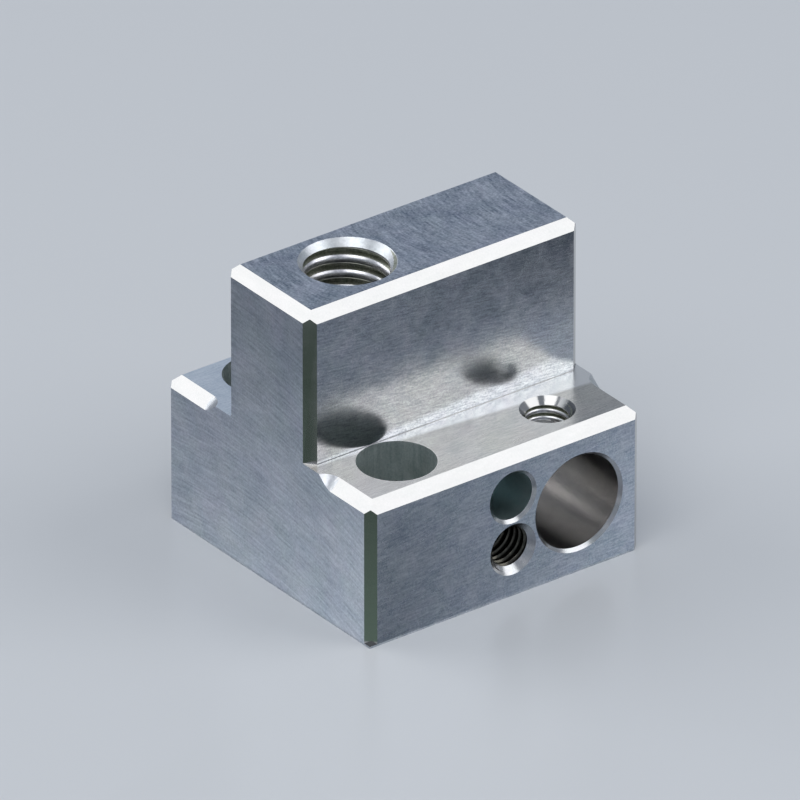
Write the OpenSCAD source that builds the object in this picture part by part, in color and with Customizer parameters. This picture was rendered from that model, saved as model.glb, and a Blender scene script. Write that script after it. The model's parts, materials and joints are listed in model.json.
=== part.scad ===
// Heater block of a small hot end, milled from one bar of aluminium.
// A low wide base carries an upright tower along its middle, so that the ends show an upside-down T.
// X runs along the tower, -Y is the side that the heater and sensor go into, and +Z is up.
// The origin is the middle of the underside.

/* [Base] */
// Length of the base and the tower along X
base_l = 20; // [19:0.5:30]
// Width of the base along Y
base_w = 20; // [19.5:0.5:28]
// Height of the base, from the underside to the two ledges
base_h = 9.5; // [9.2:0.1:14]
// Leg of the 45 degree chamfer round the ledges' outer edges
base_edge_chamfer = 0.7; // [0.3:0.05:0.9]
// Leg of the 45 degree chamfer on the base's upright corners
base_corner_chamfer = 0.55; // [0.3:0.05:1.2]
// Thickness of the sharp toe left under the corner chamfer at the left front corner
toe_h = 0.12; // [0.05:0.01:0.3]

/* [Tower] */
// Thickness of the tower along Y
tower_t = 8.2; // [7.5:0.1:8.8]
// Height of the tower above the ledges
tower_h = 10; // [6:0.5:20]
// Leg of the 45 degree chamfer round the tower's top
tower_edge_chamfer = 0.65; // [0.3:0.05:0.9]
// Leg of the 45 degree chamfer on the tower's upright corners
tower_corner_chamfer = 0.6; // [0.3:0.05:1.2]

/* [Chamfer run-outs] */
// Radius of the conical chamfer cutter where it meets the ledge
runout_r = 1.3; // [1:0.1:2]
// Length of sharp ledge edge left between the tower's side and each run-out
runout_land = 0.95; // [0.4:0.05:2]

/* [Nozzle hole] */
// Distance of the nozzle hole's axis from the left end
nozzle_inset = 5.9; // [4.2:0.1:6.8]
// Drilled diameter of the nozzle hole, ready for an M6 x 1 tap
nozzle_drill_d = 5; // [4:0.1:5.4]
// Diameter of the countersink at both mouths of the nozzle hole
nozzle_mouth_d = 5.9; // [5.5:0.05:6.6]

/* [Heater bore] */
// Distance of the heater bore's axis from the right end
heater_inset = 4.65; // [4.2:0.05:5.5]
// Height of the heater bore's axis above the underside
heater_z = 4.6; // [4.3:0.1:5]
// Diameter of the bore for a 6 mm heater cartridge
heater_d = 6.05; // [5.5:0.05:6.5]
// Leg of the small chamfer at the mouths of the heater and sensor bores
bore_break = 0.2; // [0.1:0.05:0.3]

/* [Sensor bore] */
// Distance along X between the sensor's axis and the heater's
sensor_pitch = 4.85; // [4.6:0.05:5.4]
// Height of the sensor bore's axis above the underside
sensor_z = 6.6; // [6.2:0.1:6.9]
// Diameter of the bore for a 3 mm temperature sensor
sensor_d = 3.05; // [2.5:0.05:3.4]
// Depth of the sensor bore to the end of its full diameter
sensor_depth = 8.5; // [5:0.5:9]

/* [Screw holes] */
// Drilled diameter of both screw holes, ready for an M3 x 0.5 tap
screw_drill_d = 2.5; // [2:0.05:2.7]
// Diameter of the countersink at the screw holes' mouths
screw_mouth_d = 3.35; // [2.9:0.05:3.5]
// Distance of the retaining screw's axis below the sensor's
retainer_drop = 3.5; // [3.4:0.05:3.9]
// Depth of the retaining screw's hole to the end of its full diameter
retainer_depth = 6; // [4:0.5:9]
// Distance of the clamp screw's axis from the front face
clamp_inset = 3.1; // [2.6:0.1:3.9]

/* [Ledge holes] */
// Distance of the two plain ledge holes' axes from the left end
ledge_hole_inset = 4.55; // [3.3:0.05:6]
// Diameter of the two plain holes through the ledges
ledge_hole_d = 4.8; // [3:0.1:4.9]
// Sliver of ledge left between each plain hole and the tower's foot
ledge_hole_gap = 0.05; // [0.05:0.05:0.3]

/* [Hidden] */
// Sides of every round cut
round_sides = 96;
// How far each cut reaches past the face that it opens
over = 0.4;
// Included angle of a common twist drill's point
drill_point_angle = 118;
// Half the length and width of the base, and half the thickness of the tower
end_x = base_l / 2;
side_y = base_w / 2;
wall_y = tower_t / 2;
// Full height of the block
block_h = base_h + tower_h;
// Places of the holes along X, each taken from the end or bore that it is set out from
nozzle_x = nozzle_inset - end_x;
ledge_hole_x = ledge_hole_inset - end_x;
heater_x = end_x - heater_inset;
sensor_x = heater_x - sensor_pitch;
// Places of the holes across Y and up Z
ledge_hole_y = wall_y + ledge_hole_gap + ledge_hole_d / 2;
clamp_y = clamp_inset - side_y;
retainer_z = sensor_z - retainer_drop;
// Length over which the cutter's cone climbs out of an end edge
runout_l = sqrt(base_edge_chamfer * (2 * runout_r - base_edge_chamfer));
// Place of the cutter's axis where it stops: its distance from the middle, and from the end
runout_y = wall_y + runout_land + runout_l;
runout_x = end_x + runout_r - base_edge_chamfer;

// Section of the bar: the base's width below, the tower's thickness above
module t_section() {
    polygon([
        [-side_y, 0],
        [side_y, 0],
        [side_y, base_h],
        [wall_y, base_h],
        [wall_y, block_h],
        [-wall_y, block_h],
        [-wall_y, base_h],
        [-side_y, base_h]
    ]);
}

// Section of a 45 degree chamfer cut, with the edge to be removed at 0, 0
// and the metal to the left of it and below
module bevel(leg) {
    polygon([
        [-leg - over, over],
        [over, -leg - over],
        [over, over]
    ]);
}

// The same cut at all four corners of the plan
module four_corners() {
    for (flip_x = [0, 1])
        for (flip_y = [0, 1])
            mirror([flip_x, 0, 0])
                mirror([0, flip_y, 0])
                    children();
}

// Chamfers along the two long edges of a top of the given height and half width
module long_edge_cuts(leg, half_w, top_z) {
    for (flip_y = [0, 1])
        mirror([0, flip_y, 0])
            translate([0, half_w, top_z])
                rotate([90, 0, 90])
                    linear_extrude(height = base_l + 2 * over, center = true)
                        bevel(leg);
}

// Chamfers across both ends of the tower's top
module tower_end_cuts() {
    for (flip_x = [0, 1])
        mirror([flip_x, 0, 0])
            translate([end_x, 0, block_h])
                rotate([90, 0, 0])
                    linear_extrude(height = tower_t + 2 * over, center = true)
                        bevel(tower_edge_chamfer);
}

// Chamfer of one ledge's end edge: straight from the corner inwards, and then the cone
// of the cutter, which stops short of the tower and leaves a curved end to the chamfer
module ledge_end_cut() {
    translate([end_x, side_y + over, base_h])
        rotate([90, 0, 0])
            linear_extrude(height = side_y + over - runout_y)
                bevel(base_edge_chamfer);
    translate([runout_x, runout_y, base_h - runout_r])
        cylinder(h = runout_r + over, r1 = 0, r2 = runout_r + over, $fn = round_sides);
}

// Chamfer up one upright corner of a body with the given half width and top
module corner_cut(leg, half_w, bottom_z, top_z) {
    translate([end_x, half_w, bottom_z])
        linear_extrude(height = top_z + over - bottom_z)
            bevel(leg);
}

// The base's upright chamfers run right down, but for the left front one, which leaves a toe
module base_corner_cuts() {
    corner_cut(base_corner_chamfer, side_y, -over, base_h);
    mirror([1, 0, 0])
        corner_cut(base_corner_chamfer, side_y, -over, base_h);
    mirror([0, 1, 0])
        corner_cut(base_corner_chamfer, side_y, -over, base_h);
    mirror([1, 0, 0])
        mirror([0, 1, 0])
            corner_cut(base_corner_chamfer, side_y, toe_h, base_h);
}

// Blind hole drilled down from 0: countersunk mouth, full diameter and drill point in one profile
module drilled_hole(r, mouth_r, depth) {
    tip = r / tan(drill_point_angle / 2);
    rotate_extrude($fn = round_sides)
        polygon([
            [0, over],
            [mouth_r + over, over],
            [r, r - mouth_r],
            [r, -depth],
            [0, -depth - tip]
        ]);
}

// Hole drilled down from 0 right through, countersunk at both mouths
module through_hole(r, mouth_r, length) {
    rotate_extrude($fn = round_sides)
        polygon([
            [0, over],
            [mouth_r + over, over],
            [r, r - mouth_r],
            [r, mouth_r - r - length],
            [mouth_r + over, -length - over],
            [0, -length - over]
        ]);
}

// Nozzle and heat break share one tapped hole down the tower's axis
module nozzle_hole() {
    translate([nozzle_x, 0, block_h])
        through_hole(nozzle_drill_d / 2, nozzle_mouth_d / 2, block_h);
}

// Heater cartridge bore, from the front face to the back
module heater_bore() {
    translate([heater_x, -side_y, heater_z])
        rotate([90, 0, 0])
            through_hole(heater_d / 2, heater_d / 2 + bore_break, base_w);
}

// Temperature sensor bore beside the heater
module sensor_bore() {
    translate([sensor_x, -side_y, sensor_z])
        rotate([90, 0, 0])
            drilled_hole(sensor_d / 2, sensor_d / 2 + bore_break, sensor_depth);
}

// Tapped hole under the sensor, for the screw whose washer keeps the sensor in
module retainer_hole() {
    translate([sensor_x, -side_y, retainer_z])
        rotate([90, 0, 0])
            drilled_hole(screw_drill_d / 2, screw_mouth_d / 2, retainer_depth);
}

// Tapped hole from the ledge into the heater bore, for the screw that clamps the cartridge
module clamp_hole() {
    translate([heater_x, clamp_y, base_h])
        drilled_hole(screw_drill_d / 2, screw_mouth_d / 2, base_h - heater_z);
}

// Plain sharp-edged holes through both ledges, tight against the tower's foot
module ledge_holes() {
    for (flip_y = [0, 1])
        mirror([0, flip_y, 0])
            translate([ledge_hole_x, ledge_hole_y, -over])
                cylinder(h = base_h + 2 * over, d = ledge_hole_d, $fn = round_sides);
}

// The whole block, one piece of aluminium
module heater_block() {
    color("silver")
        difference() {
            rotate([90, 0, 90])
                linear_extrude(height = base_l, center = true)
                    t_section();
            long_edge_cuts(base_edge_chamfer, side_y, base_h);
            long_edge_cuts(tower_edge_chamfer, wall_y, block_h);
            tower_end_cuts();
            four_corners()
                ledge_end_cut();
            base_corner_cuts();
            four_corners()
                corner_cut(tower_corner_chamfer, wall_y, base_h, block_h);
            nozzle_hole();
            heater_bore();
            sensor_bore();
            retainer_hole();
            clamp_hole();
            ledge_holes();
        }
}

heater_block();
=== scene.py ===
"""The bare heater block of a small hot end: one milled piece of aluminium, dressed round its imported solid."""

import json
import math

import bmesh
import bpy
from mathutils import Matrix, Vector


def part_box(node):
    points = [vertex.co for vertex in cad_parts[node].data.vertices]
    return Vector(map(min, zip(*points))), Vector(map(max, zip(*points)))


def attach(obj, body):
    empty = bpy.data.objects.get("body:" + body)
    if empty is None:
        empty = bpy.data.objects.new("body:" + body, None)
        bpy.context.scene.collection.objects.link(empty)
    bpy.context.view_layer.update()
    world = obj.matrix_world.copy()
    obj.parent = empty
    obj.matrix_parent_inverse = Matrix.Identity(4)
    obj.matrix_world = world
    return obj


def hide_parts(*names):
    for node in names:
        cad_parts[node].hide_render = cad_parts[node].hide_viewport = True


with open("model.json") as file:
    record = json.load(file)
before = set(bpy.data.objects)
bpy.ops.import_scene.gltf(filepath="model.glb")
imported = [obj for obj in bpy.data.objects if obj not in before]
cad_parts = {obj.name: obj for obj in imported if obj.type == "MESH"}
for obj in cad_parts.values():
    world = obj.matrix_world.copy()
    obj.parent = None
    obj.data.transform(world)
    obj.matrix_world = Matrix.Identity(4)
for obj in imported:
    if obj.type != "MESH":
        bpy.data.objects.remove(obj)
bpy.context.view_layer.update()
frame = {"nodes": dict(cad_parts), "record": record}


# The milled block.
# The whole part is one bar of aluminium, milled to an upside-down T, chamfered and drilled. It starts as a
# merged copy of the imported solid. The end mill's nose leaves a fine fillet at the tower's foot.
MM = 0.001
LEDGE_Z = 9.5 * MM
TOWER_Y = 4.1 * MM
TOOL_NOSE = 0.045 * MM
NEAR = 0.01 * MM
WELD = 0.0005 * MM
SQUARE_CORNER = math.radians(80)

block_mesh = bpy.data.meshes.new("milled_block")
bm = bmesh.new()
bm.from_mesh(frame["nodes"]["heater_block"].data)
bmesh.ops.remove_doubles(bm, verts=bm.verts, dist=WELD)
foot = [edge for edge in bm.edges if not edge.is_convex and edge.calc_face_angle() > SQUARE_CORNER
        and all(abs(vert.co.z - LEDGE_Z) < NEAR for vert in edge.verts)]
bmesh.ops.bevel(bm, geom=foot, offset=TOOL_NOSE, affect="EDGES", segments=4, profile=0.5, material=-1)
bm.to_mesh(block_mesh)
bm.free()
block = bpy.data.objects.new("milled_block", block_mesh)
bpy.context.scene.collection.objects.link(block)


# The tapped holes.
# The nozzle hole is tapped M6 x 1 right through, and the retainer and clamp holes M3 x 0.5.
# Each tap is a closed helical ridge with 60 degree flanks and round shoulders, cut out of the drilled wall.
FLANK = math.tan(math.radians(30))
SHOULDER_SPREAD = 0.577
TAP_CORE = 0.3 * MM
WALL_SKIN = 0.004 * MM
LEAD_TAPER = 0.35
PAST_MOUTH = 1.2 * MM

holes = {mount["name"]: mount for mount in frame["record"]["mounts"]}
block_low, block_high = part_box("heater_block")


def tap(hole, start, end, pitch, root_r, crest, ease, first_turn, steps, lead=0.0):
    """The metal that one tap removes, as an object, from start to end along the hole's axis, from its middle.
    crest is the flat left between two ridges, ease the radius of its shoulders, first_turn where the ridge
    starts in degrees, steps its faces a turn, and lead the length of the tap's short first teeth."""
    drill_r = hole["dims"]["r_mm"] * MM
    half = (pitch - crest) / 2
    shoulder = half + SHOULDER_SPREAD * ease
    side = [(drill_r - TAP_CORE, shoulder)]
    for degrees in (0, 20, 40, 60):
        turn = math.radians(degrees)
        reach = ease * (1 - math.cos(turn)) - (WALL_SKIN if degrees == 0 else 0)
        side.append((drill_r + reach, shoulder - ease * math.sin(turn)))
    side.append((root_r, half - (root_r - drill_r) * FLANK))
    section = side + [(r, -z) for r, z in reversed(side)]
    turns = (end - start) / pitch
    tool = bmesh.new()
    rim = [tool.verts.new((r, 0, start + z)) for r, z in section]
    tool.faces.new(rim)
    bmesh.ops.rotate(tool, verts=tool.verts, matrix=Matrix.Rotation(math.radians(first_turn), 3, "Z"))
    count = round(turns * steps)
    bmesh.ops.spin(
        tool, geom=tool.verts[:] + tool.edges[:] + tool.faces[:], cent=(0, 0, 0), axis=(0, 0, 1),
        dvec=(0, 0, pitch / steps), angle=math.tau * count / steps, steps=count,
    )
    for vert in tool.verts:
        short = max(0.0, start + lead - vert.co.z) * LEAD_TAPER
        radius = math.hypot(vert.co.x, vert.co.y)
        vert.co.xy *= (radius - short) / radius
    bmesh.ops.recalc_face_normals(tool, faces=tool.faces)
    place = Vector((0, 0, 1)).rotation_difference(Vector(hole["axis"])).to_matrix().to_4x4()
    place.translation = Vector(hole["pos_m"])
    bmesh.ops.transform(tool, matrix=place, verts=tool.verts)
    mesh = bpy.data.meshes.new("tap")
    tool.to_mesh(mesh)
    tool.free()
    made = bpy.data.objects.new("tap", mesh)
    bpy.context.scene.collection.objects.link(made)
    return made


half_through = (block_high.z - block_low.z) / 2
taps = [
    tap(holes["nozzle_hole"], start=-half_through - PAST_MOUTH, end=half_through + PAST_MOUTH, pitch=1 * MM,
        root_r=2.9 * MM, crest=0.38 * MM, ease=0.32 * MM, first_turn=94, steps=56),
    tap(holes["retainer_hole"], start=-2.3 * MM, end=4.2 * MM, pitch=0.5 * MM,
        root_r=1.5 * MM, crest=0.18 * MM, ease=0.08 * MM, first_turn=0, steps=36, lead=1.2 * MM),
    tap(holes["clamp_hole"], start=-2.2 * MM, end=2.2 * MM, pitch=0.5 * MM,
        root_r=1.5 * MM, crest=0.2 * MM, ease=0.16 * MM, first_turn=-127, steps=36),
]
for cutter in taps:
    cut = block.modifiers.new("tap", "BOOLEAN")
    cut.operation = "DIFFERENCE"
    cut.solver = "MANIFOLD"
    cut.object = cutter
bpy.context.view_layer.update()
tapped = bpy.data.meshes.new_from_object(block.evaluated_get(bpy.context.evaluated_depsgraph_get()))
block.modifiers.clear()
block.data = tapped
block.data.name = "milled_block"
for cutter in taps:
    bpy.data.objects.remove(cutter)


# The cut surfaces.
# The metal is bare, and each face keeps the marks of the cutter that made it. That is how they differ, and
# some colours also hold painted light or shade, said where each is set.
# Real marks are 0.02 to 0.1 mm apart, so most are drawn coarser than that, as coarse as they need to show.
def linear(code):
    """An sRGB hex colour as linear RGBA."""
    parts = [int(code[i:i + 2], 16) / 255 for i in (1, 3, 5)]
    return [p / 12.92 if p <= 0.04045 else ((p + 0.055) / 1.055) ** 2.4 for p in parts] + [1.0]


def add_node(tree, kind, settings=None, links=None):
    """Adds a node; settings are sockets or properties, links are its sockets and what feeds them."""
    node = tree.nodes.new(kind)
    for key, value in (settings or {}).items():
        if isinstance(key, int) or key in node.inputs:
            node.inputs[key].default_value = value
        else:
            setattr(node, key, value)
    for key, source in (links or {}).items():
        tree.links.new(source, node.inputs[key])
    return node


def swept_marks(tree, place, streak, tilt, sweep):
    """Long thin noise along a cutter's path. streak is a mark's size along each axis in mm. tilt turns the
    path, and sweep bends it: the axis it bends along, the one it runs along, and the bend's middle and radius
    in mm."""
    if sweep:
        along, run, middle, radius = sweep
        run_at = add_node(tree, "ShaderNodeSeparateXYZ", {}, {"Vector": place}).outputs[run]
        off = add_node(tree, "ShaderNodeMath", {"operation": "SUBTRACT", 1: middle * MM},
                       {0: run_at}).outputs[0]
        sag = add_node(tree, "ShaderNodeMath", {"operation": "MULTIPLY"}, {0: off, 1: off}).outputs[0]
        shift = add_node(tree, "ShaderNodeMath", {"operation": "DIVIDE", 1: 2 * radius * MM},
                         {0: sag}).outputs[0]
        bend = add_node(tree, "ShaderNodeCombineXYZ", {}, {along: shift}).outputs["Vector"]
        place = add_node(tree, "ShaderNodeVectorMath", {}, {0: place, 1: bend}).outputs["Vector"]
    turned = add_node(tree, "ShaderNodeMapping", {"Rotation": tilt}, {"Vector": place}).outputs["Vector"]
    drawn = add_node(tree, "ShaderNodeMapping", {"Scale": [1 / (s * MM) for s in streak]}, {"Vector": turned})
    return add_node(tree, "ShaderNodeTexNoise", {"Scale": 1.0, "Detail": 3.0, "Roughness": 0.6},
                    {"Vector": drawn.outputs["Vector"]}).outputs["Fac"]


# Fine specks, faint coloured casts and a second sweep go into the colour with these shares. HALF_SPREAD is how
# far from its middle the mixed noise reaches the full colour.
SPECK_MM = 0.12
SPECK_SHARE = 0.6
CAST_SHARE = 0.12
SECOND_SWEEP_SHARE = 0.4
HALF_SPREAD = 0.26
MICRON = 1e-6


def cut_finish(name, deep, light, polish, streak, tilt=(0, 0, 0), sweeps=(None,), relief=2.0, patch_mm=2.0,
               clouds=0.5, bright_band=None):
    """Bare aluminium as a cutter leaves it, between the colours deep and light and polish's two roughnesses.
    Each sweep is one pass of swept_marks, relief is the marks' height in microns, patch_mm the size of the
    clouds in the polish, and clouds their share in the colour. bright_band is a band where the colour is
    brighter: a colour, a way across the face, and where along it in mm the band starts and is full."""
    material = bpy.data.materials.new(name)
    material.use_nodes = True
    tree = material.node_tree
    shader = tree.nodes["Principled BSDF"]
    shader.inputs["Metallic"].default_value = 1.0
    place = add_node(tree, "ShaderNodeTexCoord").outputs["Object"]
    marks = swept_marks(tree, place, streak, tilt, sweeps[0])
    for sweep in sweeps[1:]:
        crossing = swept_marks(tree, place, streak, tilt, sweep)
        marks = add_node(tree, "ShaderNodeMix", {0: SECOND_SWEEP_SHARE}, {2: marks, 3: crossing}).outputs[0]
    cloud = add_node(tree, "ShaderNodeTexNoise",
                     {"Scale": 1 / (patch_mm * MM), "Detail": 4.0, "Roughness": 0.7, "Distortion": 0.5},
                     {"Vector": place})
    patches = cloud.outputs["Fac"]
    specks = add_node(tree, "ShaderNodeTexNoise", {"Scale": 1 / (SPECK_MM * MM), "Detail": 1.0},
                      {"Vector": place}).outputs["Fac"]
    cloudy = add_node(tree, "ShaderNodeMath", {"operation": "MULTIPLY_ADD", 1: clouds},
                      {0: patches, 2: marks}).outputs[0]
    blend = add_node(tree, "ShaderNodeMath", {"operation": "MULTIPLY_ADD", 1: SPECK_SHARE},
                     {0: specks, 2: cloudy}).outputs[0]
    middle = (1 + clouds + SPECK_SHARE) / 2
    spread = add_node(tree, "ShaderNodeMapRange",
                      {"From Min": middle - HALF_SPREAD, "From Max": middle + HALF_SPREAD},
                      {"Value": blend}).outputs["Result"]
    colour = add_node(tree, "ShaderNodeMix", {"data_type": "RGBA", 6: linear(deep), 7: linear(light)},
                      {0: spread}).outputs[2]
    colour = add_node(tree, "ShaderNodeMix",
                      {"data_type": "RGBA", "blend_type": "OVERLAY", 0: CAST_SHARE * clouds},
                      {6: colour, 7: cloud.outputs["Color"]}).outputs[2]
    if bright_band:
        bright, way, start, full = bright_band
        across = add_node(tree, "ShaderNodeVectorMath", {"operation": "DOT_PRODUCT", 1: way},
                          {0: place}).outputs["Value"]
        share = add_node(tree, "ShaderNodeMapRange", {"From Min": start * MM, "From Max": full * MM},
                         {"Value": across}).outputs["Result"]
        colour = add_node(tree, "ShaderNodeMix", {"data_type": "RGBA", 7: linear(bright)},
                          {0: share, 6: colour}).outputs[2]
    rough = add_node(tree, "ShaderNodeMapRange",
                     {"From Min": 0.3, "From Max": 0.7, "To Min": polish[0], "To Max": polish[1]},
                     {"Value": patches}).outputs["Result"]
    bump = add_node(tree, "ShaderNodeBump", {"Strength": 1.0, "Distance": relief * MICRON},
                    {"Height": marks}).outputs["Normal"]
    tree.links.new(colour, shader.inputs["Base Color"])
    tree.links.new(rough, shader.inputs["Roughness"])
    tree.links.new(bump, shader.inputs["Normal"])
    block.data.materials.append(material)
    return len(block.data.materials) - 1


block.data.materials.clear()
X, Y, Z = 0, 1, 2

# The top is face milled: two crossing sets of wide arcs, grainy. Its darker, bluish grey colour is a painted
# reflection of darker, bluer surroundings. Real marks are about 0.05 mm wide, and these are drawn 0.14 mm
# wide, so that they show.
top_finish = cut_finish(
    "face_milled_aluminium", "#7b8696", "#d3d9e3", polish=(0.3, 0.42), streak=(0.14, 1.4, 1),
    sweeps=((X, Y, 0, -9), (X, Y, 0, 30)), relief=3.5,
)
# The front ledge is the floor of a slot, milled along X: warm, fairly bright, and brighter still in a band
# along the tower's foot.
ledge_finish = cut_finish(
    "slot_milled_aluminium", "#aeaca8", "#cbc8c3", polish=(0.2, 0.28), streak=(0.9, 0.1, 1),
    relief=0.5, patch_mm=3, clouds=0.3, bright_band=("#e8e7e5", (0.09, 1, 0), -5.2, -4.9),
)
# The back ledge is left from the rougher pass, so it is dull and mirrors almost nothing. Its colour, paler
# and bluer than the front ledge's, is painted light, for the brighter look it has where it catches the light.
back_ledge_painted_light_finish = cut_finish(
    "rough_slot_milled_aluminium_painted_light", "#d3dde8", "#edf4fb", polish=(0.4, 0.5), streak=(0.9, 0.1, 1),
    relief=0.5,
)
# The ends are fly cut: one large arc after another up the whole T, silky and a little cloudy.
end_finish = cut_finish(
    "fly_cut_aluminium", "#989ea8", "#c3c9d0", polish=(0.28, 0.38), streak=(1, 2.4, 0.14),
    sweeps=((Z, Y, 5, 37),), relief=1.2, patch_mm=3, clouds=0.6,
)
# The tower's sides are cut by the side of the end mill: smooth enough to mirror the ledge, with faint lines.
tower_side_finish = cut_finish(
    "side_milled_aluminium", "#92959b", "#c8cbce", polish=(0.16, 0.26), streak=(0.9, 1, 0.11),
    tilt=(0, math.radians(-6), 0), relief=0.5,
)
# The base's sides are the bar's own, skimmed: satin, with lines along the bar that are a little coarser.
base_side_finish = cut_finish(
    "bar_side_aluminium", "#9ba3ad", "#ced2d7", polish=(0.24, 0.32), streak=(1.1, 1, 0.12),
    tilt=(0, math.radians(3), 0), relief=1.2,
)
# The chamfers are cut last by a sharp cutter: the brightest and cleanest faces, which flash white or go dark.
bevel_finish = cut_finish(
    "chamfer_milled_aluminium", "#a3a3a2", "#a9a8a7", polish=(0.12, 0.17), streak=(2, 2, 0.4),
    relief=0.2, clouds=0.1,
)
# The nozzle hole's countersink and the run-outs are conical cuts: a softer, duller shine than the chamfers.
mouth_finish = cut_finish(
    "countersunk_aluminium", "#b4b7ba", "#c9cccf", polish=(0.34, 0.42), streak=(0.3, 0.3, 0.2),
    relief=1.0,
)
# The bores' edges are broken by a deburring tool: thin bright rims.
rim_finish = cut_finish(
    "deburred_aluminium", "#a3a4a6", "#b3b4b5", polish=(0.2, 0.28), streak=(1, 1, 0.4),
    relief=0.5,
)
# The heater bore is reamed, for a close fit round the cartridge: soft even reflections, without marks.
heater_finish = cut_finish(
    "reamed_aluminium", "#cfcdcb", "#d8d6d4", polish=(0.2, 0.27), streak=(1.5, 3, 1.5),
    relief=0.2,
)
# The sensor bore is only drilled: duller, and faintly green.
sensor_finish = cut_finish(
    "drilled_aluminium", "#dbeaea", "#e6f2f2", polish=(0.3, 0.4), streak=(0.4, 0.4, 0.4),
    relief=0.8,
)
# The ledge holes are bored, and show pale upright streaks down the wall. Real ones are about 0.1 mm wide, and
# these are drawn 0.25 mm wide.
ledge_hole_finish = cut_finish(
    "bored_aluminium", "#d0dad8", "#fbfffd", polish=(0.36, 0.48), streak=(0.25, 0.25, 3),
    relief=1.5,
)
# The crests of the larger threads are the drilled wall. Their lighter colour is a painted highlight, for the
# light their round shoulders catch, so that they stand out as light lines.
crest_painted_highlight_finish = cut_finish(
    "thread_crest_aluminium", "#b4b4b7", "#dcdcde", polish=(0.26, 0.36), streak=(0.3, 0.3, 0.2),
    relief=1.0,
)
# The flanks are torn a little by the tap. Their darker colour with a green cast is painted shade, for flanks
# that face away from the light.
flank_painted_shade_finish = cut_finish(
    "thread_flank_aluminium", "#8f9382", "#c0c2b4", polish=(0.28, 0.38), streak=(0.15, 0.15, 0.5),
    relief=1.0,
)
# The retainer hole's thread is nearly black: painted shade, for the dark down in the small hole.
screw_painted_shade_finish = cut_finish(
    "painted_shade_thread_aluminium", "#41403a", "#5b5952", polish=(0.2, 0.28), streak=(0.15, 0.15, 0.5),
    relief=1.0,
)

# How closely a face has to be turned, and how near a hole's wall, mouth or thread crest it has to lie, to be
# of that cut.
SQUARE_ON = 0.999
OFF_SQUARE = 0.05
CONE_SLOPE = (0.66, 0.75)
FOOT_REACH = 0.06 * MM
MOUTH_REACH = 0.05 * MM
WALL_REACH = 0.55 * MM
CREST_REACH = {"nozzle_hole": 0.15 * MM, "clamp_hole": 0.07 * MM}


def faces_along(face, axis, *places):
    """Whether a face is square to an axis and lies at one of those places along it."""
    at = face.calc_center_median()[axis]
    return abs(face.normal[axis]) > SQUARE_ON and any(abs(at - place) < NEAR for place in places)


def is_cone(slope):
    """Whether a face turned so far along an axis belongs to a 45 degree cone round it."""
    return CONE_SLOPE[0] < slope < CONE_SLOPE[1]


def finish_of(face):
    """Which cutter made this face, told by where it lies and how it is turned."""
    normal = face.normal
    centre = face.calc_center_median()
    if faces_along(face, Z, block_high.z):
        return top_finish
    if faces_along(face, Z, LEDGE_Z):
        # The back ledge's own, paler colour is painted light.
        return back_ledge_painted_light_finish if centre.y > 0 else ledge_finish
    if faces_along(face, X, block_low.x, block_high.x):
        return end_finish
    if faces_along(face, Z, block_low.z) or faces_along(face, Y, block_low.y, block_high.y):
        return base_side_finish
    if faces_along(face, Y, -TOWER_Y, TOWER_Y):
        return tower_side_finish
    if abs(centre.z - LEDGE_Z) < FOOT_REACH and abs(abs(centre.y) - TOWER_Y) < FOOT_REACH:
        return bevel_finish
    for name, hole in holes.items():
        if hole["kind"] == "flat_face":
            continue
        axis = Vector(hole["axis"])
        off = centre - Vector(hole["pos_m"])
        along = off.dot(axis)
        radius = (off - along * axis).length
        drill_r = hole["dims"]["r_mm"] * MM
        half_depth = hole["dims"]["length_mm"] / 2 * MM
        if radius > drill_r + WALL_REACH or abs(along) > half_depth + PAST_MOUTH:
            continue
        mouth = abs(along) > half_depth - MOUTH_REACH and is_cone(abs(normal.dot(axis)))
        if hole["kind"] != "threaded_hole":
            wall = {"heater_bore": heater_finish, "sensor_bore": sensor_finish}.get(name, ledge_hole_finish)
            return rim_finish if mouth else wall
        if mouth and along > 0:
            return {"retainer_hole": rim_finish, "nozzle_hole": mouth_finish}.get(name, bevel_finish)
        # The retainer's thread is painted shade, nearly black.
        if name == "retainer_hole":
            return screw_painted_shade_finish
        # Crests carry a painted highlight, and flanks painted shade.
        return crest_painted_highlight_finish if radius < drill_r + CREST_REACH[name] else flank_painted_shade_finish
    runout = is_cone(normal.z) and min(abs(normal.x), abs(normal.y)) > OFF_SQUARE
    return mouth_finish if runout else bevel_finish


SOFT_EDGE = math.radians(28)
bm = bmesh.new()
bm.from_mesh(block.data)
for face in bm.faces:
    face.smooth = True
    face.material_index = finish_of(face)
for edge in bm.edges:
    same_cut = edge.link_faces[0].material_index == edge.link_faces[1].material_index
    edge.smooth = same_cut and edge.calc_face_angle(math.pi) < SOFT_EDGE
bm.to_mesh(block.data)
bm.free()
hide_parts("heater_block")
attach(block, "root")


# The studio.
# The block stands on plain pale satin paper, under three plain softboxes and a pale even world.
FLOOR_HALF = 3.0


def plain(name, code, rough):
    """One even colour and roughness, for paper and card."""
    material = bpy.data.materials.new(name)
    material.use_nodes = True
    shader = material.node_tree.nodes["Principled BSDF"]
    shader.inputs["Base Color"].default_value = linear(code)
    shader.inputs["Roughness"].default_value = rough
    return material


def sheet_of(name, bm, material):
    """A flat stage object from a bmesh."""
    mesh = bpy.data.meshes.new(name)
    bm.to_mesh(mesh)
    bm.free()
    sheet = bpy.data.objects.new(name, mesh)
    sheet.data.materials.append(material)
    bpy.context.scene.collection.objects.link(sheet)
    return sheet


bm = bmesh.new()
bmesh.ops.create_grid(bm, x_segments=1, y_segments=1, size=FLOOR_HALF)
sheet_of("floor", bm, plain("satin_paper", "#c8cacc", 0.35))

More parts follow.
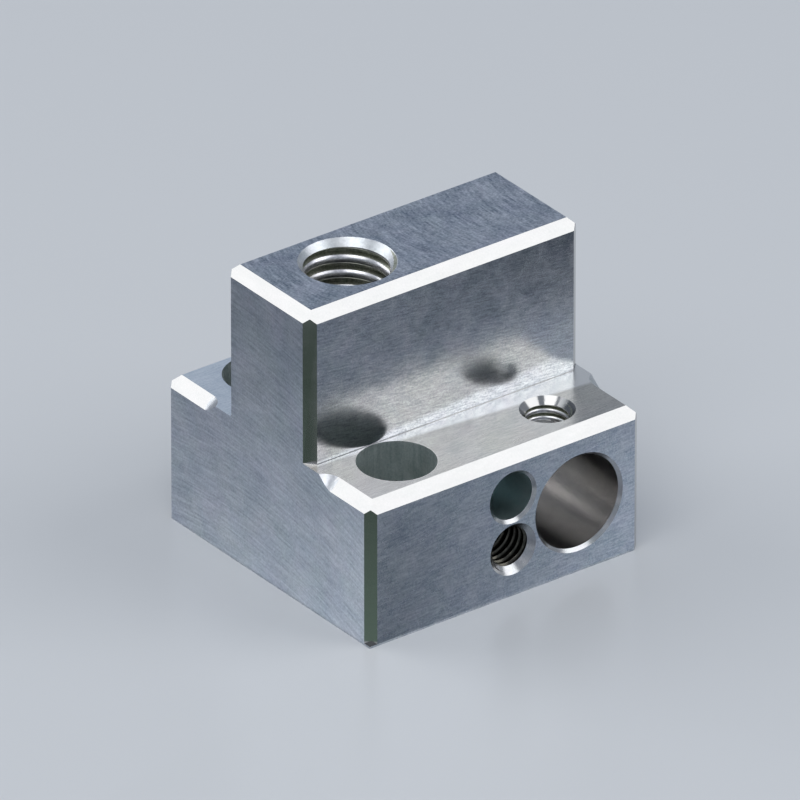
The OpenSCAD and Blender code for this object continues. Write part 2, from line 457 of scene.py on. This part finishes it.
world = bpy.data.worlds.new("studio")
world.use_nodes = True
world.node_tree.nodes["Background"].inputs["Color"].default_value = linear("#b4bcc8")
world.node_tree.nodes["Background"].inputs["Strength"].default_value = 0.85
bpy.context.scene.world = world

LAMP_DISTANCE = 0.4


def softbox(name, toward, size, power):
    """A square lamp of that size in metres and power in watts, which faces the block from that direction."""
    light = bpy.data.lights.new(name, "AREA")
    light.shape = "SQUARE"
    light.size = size
    light.energy = power
    lamp = bpy.data.objects.new(name, light)
    way = Vector(toward).normalized()
    lamp.location = way * LAMP_DISTANCE
    lamp.rotation_euler = way.to_track_quat("Z", "Y").to_euler()
    lamp.visible_camera = False
    bpy.context.scene.collection.objects.link(lamp)


softbox("front_right_softbox", (0.565, -0.5, 0.62), size=0.28, power=0.505)
softbox("back_left_softbox", (-0.487, 0.698, 0.6), size=0.25, power=0.41)
softbox("high_softbox", (-0.444, -0.289, 0.848), size=0.26, power=0.5)

# The cards.
# Toned cards lie on the paper round the block, mostly darker than it, near white by the end and greenish by
# the corner. Only its metal mirrors them: painted reflections, which shade the front, the end and the corner
# between them, and lighten the end's foot.
CARD_Z = 0.05
PAPER_GAP = 0.15 * MM


def card(name, corners, near_code, far_code, fade):
    """A lying card with those corners in mm, in a grid's order: left front, right front, left back, right
    back. It is toned from one colour to the other along fade: a way, and its start and end in mm. The paper
    right under it doesn't mirror it, because a ray shorter than PAPER_GAP goes through."""
    bm = bmesh.new()
    bmesh.ops.create_grid(bm, x_segments=1, y_segments=1, size=0.5)
    for vert, corner in zip(bm.verts, corners):
        vert.co = Vector((*corner, CARD_Z)) * MM
    material = plain(name, near_code, 0.9)
    tree = material.node_tree
    shader = tree.nodes["Principled BSDF"]
    way, start, end = fade
    place = add_node(tree, "ShaderNodeTexCoord").outputs["Object"]
    at = add_node(tree, "ShaderNodeVectorMath", {"operation": "DOT_PRODUCT", 1: way},
                  {0: place}).outputs["Value"]
    tone = add_node(tree, "ShaderNodeMapRange", {"From Min": start * MM, "From Max": end * MM},
                    {"Value": at}).outputs["Result"]
    colour = add_node(tree, "ShaderNodeMix", {"data_type": "RGBA", 6: linear(near_code), 7: linear(far_code)},
                      {0: tone}).outputs[2]
    tree.links.new(colour, shader.inputs["Base Color"])
    length = add_node(tree, "ShaderNodeLightPath").outputs["Ray Length"]
    from_paper = add_node(tree, "ShaderNodeMath", {"operation": "LESS_THAN", 1: PAPER_GAP},
                          {0: length}).outputs[0]
    clear = add_node(tree, "ShaderNodeBsdfTransparent").outputs["BSDF"]
    seen = add_node(tree, "ShaderNodeMixShader", {}, {0: from_paper, 1: shader.outputs["BSDF"], 2: clear})
    tree.links.new(seen.outputs[0], tree.nodes["Material Output"].inputs["Surface"])
    sheet = sheet_of(name, bm, material)
    sheet.visible_camera = False
    sheet.visible_diffuse = False
    sheet.visible_shadow = False
    sheet.visible_transmission = False


card("front_grey_card", [(-1, -24), (26, -24), (-9.7, -10.02), (12, -10.02)],
     "#50565d", "#d0d6de", ((1, 1, 0), -26, -2))
card("front_dark_card", [(6, -42), (46, -42), (-2, -24.1), (32, -24.1)],
     "#9aa1ab", "#4d545e", ((1, 0, 0), 6, 30))
card("end_grey_card", [(-60, 10), (-10.02, -9.7), (-60, 70), (-10.02, 14)],
     "#676d76", "#fbfdff", ((1, -1, 0), -60, -6))
card("corner_dark_card", [(-44, -17), (-34, -42), (-10.4, -9.6), (-9.6, -10.4)],
     "#7a9080", "#4c5c50", ((-1, -1, 0), 20, 50))

# The camera.
# It looks from the photograph's angle, through a long lens from far off, so parallel edges stay nearly so.
# The view is set a little off the block's middle, as in the photograph.
CAMERA_TURN = math.radians(-36.97)
CAMERA_RISE = math.radians(29.16)
CAMERA_DISTANCE = 1.4893
VIEW_MIDDLE = Vector((0, 0, 9.75 * MM))
OFF_MIDDLE = Vector((-0.213 * MM, -0.803 * MM, 0))

camera_data = bpy.data.cameras.new("camera")
camera_data.sensor_width = 36
camera_data.lens = 1142
camera = bpy.data.objects.new("camera", camera_data)
bpy.context.scene.collection.objects.link(camera)
flat = math.cos(CAMERA_RISE)
back = Vector((math.sin(CAMERA_TURN) * flat, -math.cos(CAMERA_TURN) * flat, math.sin(CAMERA_RISE)))
camera.rotation_mode = "QUATERNION"
camera.rotation_quaternion = back.to_track_quat("Z", "Y")
aim = VIEW_MIDDLE + camera.rotation_quaternion @ OFF_MIDDLE
camera.location = aim + back * CAMERA_DISTANCE
bpy.context.scene.camera = camera
bpy.context.scene.view_settings.view_transform = "Standard"
